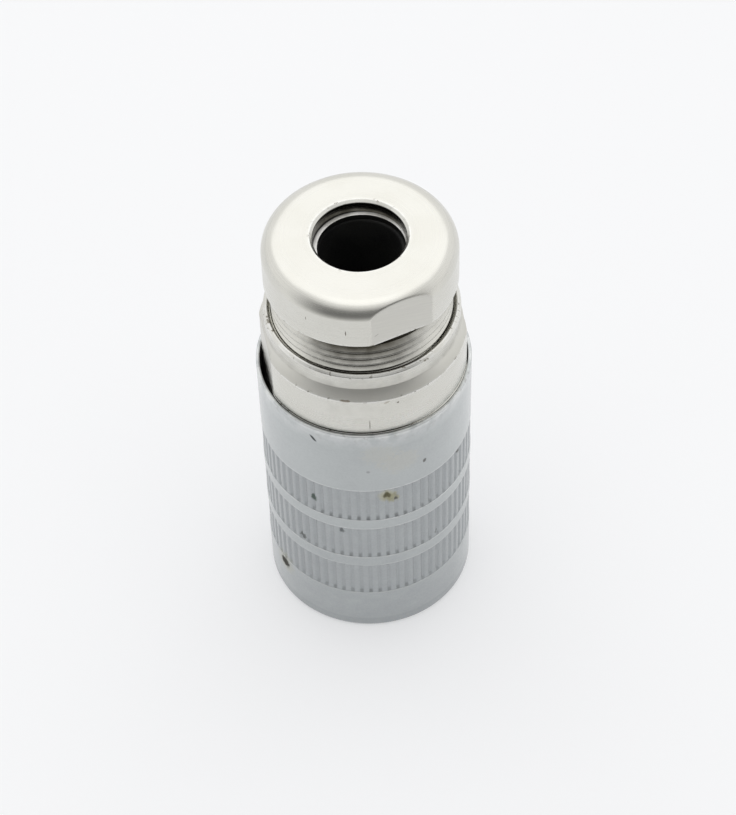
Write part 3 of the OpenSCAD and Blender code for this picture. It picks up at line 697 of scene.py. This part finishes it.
bodyMarks = {
    "wallDash": (1.9, 37.8, 0.08, 0.9, 0, 0.15, darkMark, 0.55, 0),
    "rightSpot": (17.5, 40.9, 0.2, 0.16, 0, 0.3, darkMark, 0.65, 0),
    "edgeBrown": (-11.0, 41.75, 0.6, 0.16, 0, 0.4, brownMark, 0.6, 0),
    "rightEdge": (11.4, 41.3, 0.35, 0.14, 20, 0.4, brownMark, 0.4, 0),
    "rightNick": (42.1, 43.4, 0.25, 0.15, 0, 0.4, darkMark, 0.7, 0),
    "rimNick": (20.5, 45.1, 0.3, 0.15, 0, 0.4, darkMark, 0.7, 0),
    "rimDark": (3.0, 44.75, 0.4, 0.1, 0, 0.4, darkMark, 0.8, 0),
    "leftNick": (-67.5, 43.4, 0.2, 0.2, 0, 0.4, darkMark, 0.7, 0),
}


# What both metals have: a cloudy tone, turning marks, pits, and worn places with dirt and painted shade
def metalBase(name, s):
    made, tree, shader, place = newMaterial(name)
    turned, clouds, pits, wornAndShaded = (
        useGroup(tree, key, place, s[key]) for key in ("turned", "clouds", "pits", "wornAndShaded"))
    colour = mixColour(tree, clouds["Mask"], s["colour"], s["dull"])
    return made, tree, shader, place, colour, turned, pits["Mask"], wornAndShaded


def nickelFinish(name, s, flatNormal, wallR, marks):
    made, tree, shader, place, colour, turned, pits, wornAndShaded = metalBase(name, s)
    lines = useGroup(tree, "milled", place, {"Turn": math.radians(-flatNormal)})["Lines"]
    milled = meshValueNode(tree, "milled")
    colour = layOver(tree, colour, milled, s["milled"], rangeNode(tree, lines, *s["lineRange"]))
    colour = layOver(tree, colour, wornAndShaded["Rub"], *s["rubAndHighlight"])
    colour = layOver(tree, colour, pits, *s["pit"])
    colour = layOver(tree, colour, wornAndShaded["Nick"], *s["nick"])
    colour, cover = stained(tree, place, colour, marks, wallR, s["ringColour"])
    # Dirt, and painted shade in corners, gaps, the seam, the bore and under the head
    colour = layOver(tree, colour, wornAndShaded["DirtAndShade"], *s["dirtAndShade"])
    grain = timesNode(tree, turned["Fine"], s["grainMix"][0])
    grain = addShare(tree, grain, turned["Coarse"], s["grainMix"][1])
    grain = addNode(tree, "ShaderNodeMix", {0: milled, 2: grain, 3: lines}).outputs[0]
    rough = rangeNode(tree, grain, *s["roughRange"])
    rough = addShare(tree, rough, milled, s["milledRough"])
    rough = addShare(tree, rough, cover, s["stainRough"])
    rough = addShare(tree, rough, meshValueNode(tree, "matt"), s["mattRough"])
    bump = bumpNode(tree, addShare(tree, grain, pits, -s["pitDeep"]), *s["bump"])
    setInputs(tree, shader, {"Base Color": colour, "Roughness": rough, "Metallic": 1.0, "Normal": bump})
    return made


# Blasted and turned metal under a clear coat; grainMix is the share of the turning marks and of the blasting
satin = {
    "colour": (0.447, 0.474, 0.477), "dull": (0.42, 0.445, 0.45),
    "rubAndHighlight": ((0.80, 0.81, 0.80), 0.6), "pit": ((0.12, 0.12, 0.11), 0.4), "nick": ((0.32, 0.32, 0.30), 0.4),
    "dirtAndShadeColour": (0.30, 0.322, 0.332), "darkDirtAndShadeColour": (0.05, 0.05, 0.045), "darkDirtAndShadeShare": 0.4,
    "ringColour": (0.37, 0.35, 0.19), "grainMix": (0.4, 0.6), "roughRange": (0.2, 0.8, 0.42, 0.52),
    "stainRough": 0.25, "pitDeep": 2.0, "bump": (0.2, 0.004), "coat": 0.9, "coatRough": 0.2, "coatIor": 2.0,
    "turned": {"Fine": 5000.0}, "blast": {"Scale": 4200.0, "Low": 0.2, "High": 0.8},
    "clouds": {"Scale": 130.0}, "pits": {"Scale": 430.0, "Amount": 0.012, "Size": 0.14},
    "wornAndShaded": {"Scale": 600.0, "DarkFrom": -0.1, "DarkFull": 1.3},
}
sleeveStains = {
    "yellowSmear": (12.4, 25.0, 0.95, 0.95, 30, 0.3, (0.42, 0.40, 0.24), 0.6, 0),
    "brownSpot": (9.7, 25.45, 0.54, 0.57, 0, 0.0, (0.18, 0.17, 0.10), 0.93, 0.65),
    "brownDot": (14.6, 24.5, 0.28, 0.32, 0, 0.0, (0.19, 0.185, 0.16), 0.9, 0.2),
    "greenSpot": (-31.2, 23.5, 0.4, 0.66, 0, 0.35, (0.11, 0.15, 0.125), 0.88, 0),
    "scratch": (-29.3, 34.65, 0.2, 0.62, 40, 0.2, (0.05, 0.055, 0.06), 0.9, 0),
    "leftDot": (-40.6, 14.9, 0.56, 0.52, 0, 0.4, (0.12, 0.127, 0.122), 0.8, 0),
    "frontDot": (-15.6, 18.75, 0.4, 0.42, 0, 0.4, (0.17, 0.185, 0.187), 0.8, 0),
    "rightDot": (39.4, 15.0, 0.28, 0.3, 0, 0.4, (0.14, 0.14, 0.14), 0.7, 0),
    "collarDot": (31.4, 29.7, 0.28, 0.37, 0, 0.4, (0.14, 0.13, 0.12), 0.75, 0),
    "edgeDot": (58.7, 26.15, 0.45, 0.34, 0, 0.4, (0.12, 0.12, 0.11), 0.75, 0),
    "chip": (-58.1, 6.05, 0.96, 0.92, 0, 0.3, (0.065, 0.06, 0.048), 0.96, 0.3),
    "smearHigh": (6.6, 33.0, 2.4, 1.8, 0, 0.5, (0.50, 0.49, 0.43), 0.35, 0),
    "smearLow": (17.0, 31.2, 2.8, 2.0, 0, 0.5, (0.485, 0.475, 0.42), 0.4, 0),
}


def satinFinish(name, s, wallR, stains):
    made, tree, shader, place, colour, turned, pits, wornAndShaded = metalBase(name, s)
    blast = useGroup(tree, "clouds", place, s["blast"])["Mask"]
    # Worn edges, and the painted highlight on the sleeve's rear
    colour = layOver(tree, colour, wornAndShaded["Rub"], *s["rubAndHighlight"])
    colour = layOver(tree, colour, wornAndShaded["Nick"], *s["nick"])
    # Dirt, with painted shade in the flutes and towards the bottom
    colour = mixColour(tree, wornAndShaded["DirtAndShade"], colour, s["dirtAndShadeColour"])
    colour = layOver(tree, colour, pits, *s["pit"])
    # Painted shade in the rear face and bore, and dark dots of dirt and painted shade at the flutes' ends
    darkDirtAndShade = timesNode(tree, meshValueNode(tree, "darkDirtAndShade"), s["darkDirtAndShadeShare"])
    colour = mixColour(tree, darkDirtAndShade, colour, s["darkDirtAndShadeColour"])
    colour, cover = stained(tree, place, colour, stains, wallR, s["ringColour"])
    cover = mathNode(tree, "MAXIMUM", cover, darkDirtAndShade)
    grain = timesNode(tree, turned["Fine"], s["grainMix"][0])
    grain = addShare(tree, grain, blast, s["grainMix"][1])
    rough = addShare(tree, rangeNode(tree, grain, *s["roughRange"]), cover, s["stainRough"])
    coat = timesNode(tree, mathNode(tree, "SUBTRACT", 1.0, cover), s["coat"])
    bump = bumpNode(tree, addShare(tree, grain, pits, -s["pitDeep"]), *s["bump"])
    setInputs(tree, shader, {
        "Base Color": colour, "Roughness": rough, "Metallic": 1.0, "Normal": bump, "Coat Weight": coat,
        "Coat Roughness": s["coatRough"], "Coat IOR": s["coatIor"]})
    return made


# Plain pieces: a cloudy tone between two colours, black where the mesh holds grimeAndShade (painted shade, on
# the washer), and a grain of the given scale in roughness and bump; without a metal share or a gloss of its
# own, a piece takes the shader's start
plain = {
    "plainSteel": {"colours": ((0.66, 0.65, 0.62), (0.40, 0.39, 0.36)), "rough": (0.28, 0.5),
                   "grain": 3000, "bump": 0.5, "metal": 1.0},
    "washerSteel": {"colours": ((0.80, 0.79, 0.77), (0.42, 0.41, 0.38)), "rough": (0.4, 0.6),
                    "grain": 3000, "bump": 0.5, "metal": 0.4},
    "blackRubber": {"colours": ((0.008, 0.008, 0.008), (0.014, 0.014, 0.013)), "rough": (0.6, 0.8),
                    "grain": 4000, "bump": 0.4, "gloss": 0.2},
    "insertPlastic": {"colours": ((0.50, 0.47, 0.38), (0.44, 0.41, 0.33)), "rough": (0.4, 0.55),
                      "grain": 3500, "bump": 0.2},
    "cagePlastic": {"colours": ((0.022, 0.023, 0.023), (0.03, 0.03, 0.03)), "rough": (0.4, 0.55),
                    "grain": 3500, "bump": 0.2},
    "goldContact": {"colours": ((0.78, 0.56, 0.20), (0.70, 0.49, 0.17)), "rough": (0.18, 0.3),
                    "grain": 2500, "bump": 0.2, "metal": 1.0},
}
plainShared = {"clouds": {"Scale": 300.0}, "grain": {"Low": 0.2, "High": 0.8}, "bumpDeep": 0.01,
               "paintedShadeColour": (0.012, 0.012, 0.011)}


def plainFinish(name, s, shared):
    made, tree, shader, place = newMaterial(name)
    clouds = useGroup(tree, "clouds", place, shared["clouds"])["Mask"]
    grain = useGroup(tree, "clouds", place, {"Scale": s["grain"], **shared["grain"]})["Mask"]
    colour = mixColour(tree, clouds, *s["colours"])
    colour = mixColour(tree, meshValueNode(tree, "grimeAndShade"), colour, shared["paintedShadeColour"])
    setInputs(tree, shader, {
        "Base Color": colour, "Roughness": rangeNode(tree, grain, 0.0, 1.0, *s["rough"]),
        "Normal": bumpNode(tree, grain, s["bump"], shared["bumpDeep"]),
        "Metallic": s.get("metal", 0.0), "Specular IOR Level": s.get("gloss", 0.5)})
    return made


sleeveR, bodyR, nutR = (spanOf(name)[2] for name in ("coupling_sleeve", "plug_body", "clamp_nut"))
finishes = {
    "nutNickel": nickelFinish("nutNickel", nickel, nut["flatNormal"], nutR, nutMarks),
    "bodyNickel": nickelFinish("bodyNickel", nickel, body["flatNormal"], bodyR, bodyMarks),
    "satinSleeve": satinFinish("satinSleeve", satin, sleeveR, sleeveStains),
    **{name: plainFinish(name, settings, plainShared) for name, settings in plain.items()},
}
print("materials:", len(finishes))


def paint(piece, finish):
    piece.data.materials.clear()
    piece.data.materials.append(finishes[finish])


def dress(piece, finish, rides, slot, *stands):
    paint(piece, finish)
    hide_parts(*stands)
    if rides:
        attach(piece, rides)
    return piece


dress(makeNut(nut), "nutNickel", "nut", "nickel", "clamp_nut")
dress(makeBody(body), "bodyNickel", "plug", "nickel", "plug_body")
dress(makeSleeve(sleeve), "satinSleeve", "sleeve", "satin_metal", "coupling_sleeve")
dress(makeWasher(washer), "washerSteel", "washer", "bright_steel", "thrust_washer")
grommet = dress(makeGrommet(rubber), "blackRubber", None, "black_rubber", "sealing_grommet")
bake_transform(grommet)

cadFinish = {
    "front_shell": "bodyNickel", "shield_ferrule": "plainSteel", "interface_seal": "blackRubber",
    "sleeve_o_ring": "blackRubber", "front_insulator": "insertPlastic", "rear_insulator": "insertPlastic",
    "insert_lock_ring": "cagePlastic", "clamp_cage": "cagePlastic",
}
for name, piece in nodes.items():
    finish = cadFinish.get(name, "goldContact" if name.startswith("contact_pin") else None)
    if finish:
        paint(piece, finish)
print("pieces dressed")


# The floor's colour changes by floorMottle in clouds. Tones of the screen in front of the object go by the
# elevation at which the nut's top sees them: dark between flagSink[0] and flagRise[0], white from flagRise[1]
# up, floorTone from flagSink[1] down; white at its sides too. Boxes are lamps: place, size and power.
stage = {
    "floorHalf": 3.0, "floorColour": (0.90, 0.905, 0.915), "floorMottle": 0.99, "floorClouds": {"Scale": 6.0},
    "floorRough": 0.8, "floorGloss": 0.1, "floorGlow": 0.46, "glowColour": (0.955, 0.96, 0.97),
    "skyStrength": 0.45, "backgroundWhite": 1.0,
    "boxes": {"fillBox": ((0.0, 0.18, 1.015), 1.56, 10.5), "shineBox": ((0.0, 0.175, 0.985), 1.9, 4.5),
              "shineCrest": ((0.0, -0.23, 0.87), 0.6, 0.15)},
    "flagAway": 0.08, "flagPoints": 49, "flagTone": 0.2, "floorTone": 0.84, "flagTurn": (30.0, 85.0),
    "flagRise": (14.0, 56.0), "flagSink": (-5.0, -52.0),
}
black, white = (0, 0, 0), (1, 1, 1)


# 1 for rays that show the background: straight to the eye, or by way of a reflection or of something clear
def seenShare(tree):
    path = tree.nodes.new("ShaderNodeLightPath").outputs
    seen = mathNode(tree, "MAXIMUM", path["Is Camera Ray"], path["Is Glossy Ray"])
    return mathNode(tree, "MAXIMUM", seen, path["Is Transmission Ray"])


def addStagePiece(name, points, quads, material):
    mesh = bpy.data.meshes.new(name)
    mesh.from_pydata(points, [], quads)
    mesh.materials.append(material)
    piece = bpy.data.objects.new(name, mesh)
    scene.collection.objects.link(piece)
    return piece


# The floor glows by the share floorGlow where it is seen, as an overexposed white ground does, and keeps the
# rest of its shadow
def makeFloor(s):
    made, tree, shader, place = newMaterial("paleFloor")
    clouds = useGroup(tree, "clouds", place, s["floorClouds"])["Mask"]
    mottled = tuple(c * s["floorMottle"] for c in s["floorColour"])
    colour = mixColour(tree, clouds, s["floorColour"], mottled)
    glow = timesNode(tree, seenShare(tree), s["floorGlow"])
    dim = mathNode(tree, "SUBTRACT", 1.0, glow)
    setInputs(tree, shader, {
        "Base Color": mixColour(tree, dim, black, colour), "Emission Strength": 1.0,
        "Emission Color": mixColour(tree, glow, black, s["glowColour"]),
        "Roughness": s["floorRough"], "Specular IOR Level": s["floorGloss"]})
    half = s["floorHalf"]
    points = [(-half, -half, 0), (half, -half, 0), (half, half, 0), (-half, half, 0)]
    floor = addStagePiece("floor", points, [(0, 1, 2, 3)], made)


# A dark screen in front of the object, a piece of a cylinder that stands on the floor and that only
# reflections see; it glows in the tones above, a painted reflection, so that bright metal shows a dark front
# with soft ends, as it does in front of a lens
def makeFlag(s):
    eyeHigh, away, count = spanOf("clamp_nut")[1] * mm, s["flagAway"], s["flagPoints"]
    around = np.linspace(-s["flagTurn"][1], s["flagTurn"][1], count)[None, :]
    up = np.linspace(0, eyeHigh + away * math.tan(math.radians(s["flagRise"][1])), count)[:, None]
    points = pointsRound(away + 0 * up, up, np.radians(around - 90))
    rise = np.degrees(np.arctan((up - eyeHigh) / (away - nutR * mm)))
    pale = np.maximum(smooth(np.abs(around), *s["flagTurn"]), smooth(rise, *s["flagRise"]))
    dark = s["flagTone"] + (s["floorTone"] - s["flagTone"]) * smooth(-rise, *(-d for d in s["flagSink"]))
    pale = dark + (1 - dark) * pale
    index = np.arange(count * count).reshape(count, count)
    quads = np.stack([index[:-1, :-1], index[:-1, 1:], index[1:, 1:], index[1:, :-1]], -1).reshape(-1, 4)
    made, tree, shader = newMaterial("darkFlag")[:3]
    setInputs(tree, shader, {"Base Color": black, "Specular IOR Level": 0.0, "Emission Strength": 1.0,
                             "Emission Color": meshValueNode(tree, "pale")})
    flag = addStagePiece("flag", points.reshape(-1, 3).tolist(), quads.tolist(), made)
    layer = flag.data.attributes.new("pale", "FLOAT", "POINT")
    layer.data.foreach_set("value", pale.astype(np.float32).ravel())
    for ray in ("camera", "diffuse", "shadow", "transmission"):
        setattr(flag, "visible_" + ray, False)


def makeLight(s):
    world = bpy.data.worlds.new("studio")
    scene.world = world
    world.use_nodes = True
    tree = world.node_tree
    tree.nodes.clear()
    levels = {0: seenShare(tree), 2: s["skyStrength"], 3: s["backgroundWhite"]}
    strength = addNode(tree, "ShaderNodeMix", levels)
    sky = addNode(tree, "ShaderNodeBackground", {"Color": white, "Strength": strength.outputs[0]})
    tree.links.new(sky.outputs[0], tree.nodes.new("ShaderNodeOutputWorld").inputs[0])
    # The fill only lights, the shines are only reflected
    for name, (place, size, power) in s["boxes"].items():
        back = unit(np.array(place))  # a lamp looks along its own -Z, here at the object
        side = unit(np.cross([0, 1, 0], back))
        turn = Matrix(np.stack([side, np.cross(back, side), back], 1)).to_4x4()
        lamp = bpy.data.lights.new(name, "AREA")
        lamp.shape, lamp.size, lamp.energy = "SQUARE", size, power
        box = bpy.data.objects.new(name, lamp)
        scene.collection.objects.link(box)
        box.matrix_world = Matrix.Translation(place) @ turn
        box.visible_camera = False
        box.visible_glossy = name.startswith("shine")
        box.visible_diffuse = name.startswith("fill")


makeFloor(stage)
makeFlag(stage)
makeLight(stage)
print("stage set")


# away and sensor are in mm, clip is in metres, and focal, seenAt and frame are in pixels
view = {"elevation": 46.30, "away": 255.7, "roll": -2.10, "focal": 2400.0, "seenAt": (359.4, 234.7),
        "frame": (736, 815), "sensor": 36.0, "clip": (0.01, 20.0)}


# Looks from the front at the centre of the nut's top, which lands at seenAt in the frame; rolled a little
def makeCamera(s):
    wide, tall = s["frame"]
    up = math.radians(s["elevation"])
    away = s["away"] * np.array([0, -math.cos(up), math.sin(up)])
    forward = -unit(away)
    right = np.array([1.0, 0, 0])
    turned = np.stack([right, np.cross(forward, right), forward])
    dx, dy = s["seenAt"][0] - wide / 2, s["seenAt"][1] - tall / 2
    ax, ay = math.atan2(dx, s["focal"]), math.atan2(dy, math.hypot(s["focal"], dx))
    roll = math.radians(s["roll"])
    pan = np.array([[math.cos(ax), 0, math.sin(ax)], [0, 1, 0], [-math.sin(ax), 0, math.cos(ax)]])
    tilt = np.array([[1, 0, 0], [0, math.cos(ay), math.sin(ay)], [0, -math.sin(ay), math.cos(ay)]])
    spin = np.array([[math.cos(roll), -math.sin(roll), 0], [math.sin(roll), math.cos(roll), 0], [0, 0, 1]])
    axes = pan @ tilt @ spin @ turned
    place = (away + np.array([0, 0, spanOf("clamp_nut")[1]])) * mm
    data = bpy.data.cameras.new("camera")
    data.sensor_width = s["sensor"]
    data.lens = s["focal"] / max(s["frame"]) * s["sensor"]
    data.clip_start, data.clip_end = s["clip"]
    camera = bpy.data.objects.new("camera", data)
    scene.collection.objects.link(camera)
    facing = Matrix(np.stack([axes[0], -axes[1], -axes[2]], 1)).to_4x4()
    camera.matrix_world = Matrix.Translation(place) @ facing
    scene.camera = camera


makeCamera(view)
print("camera set")
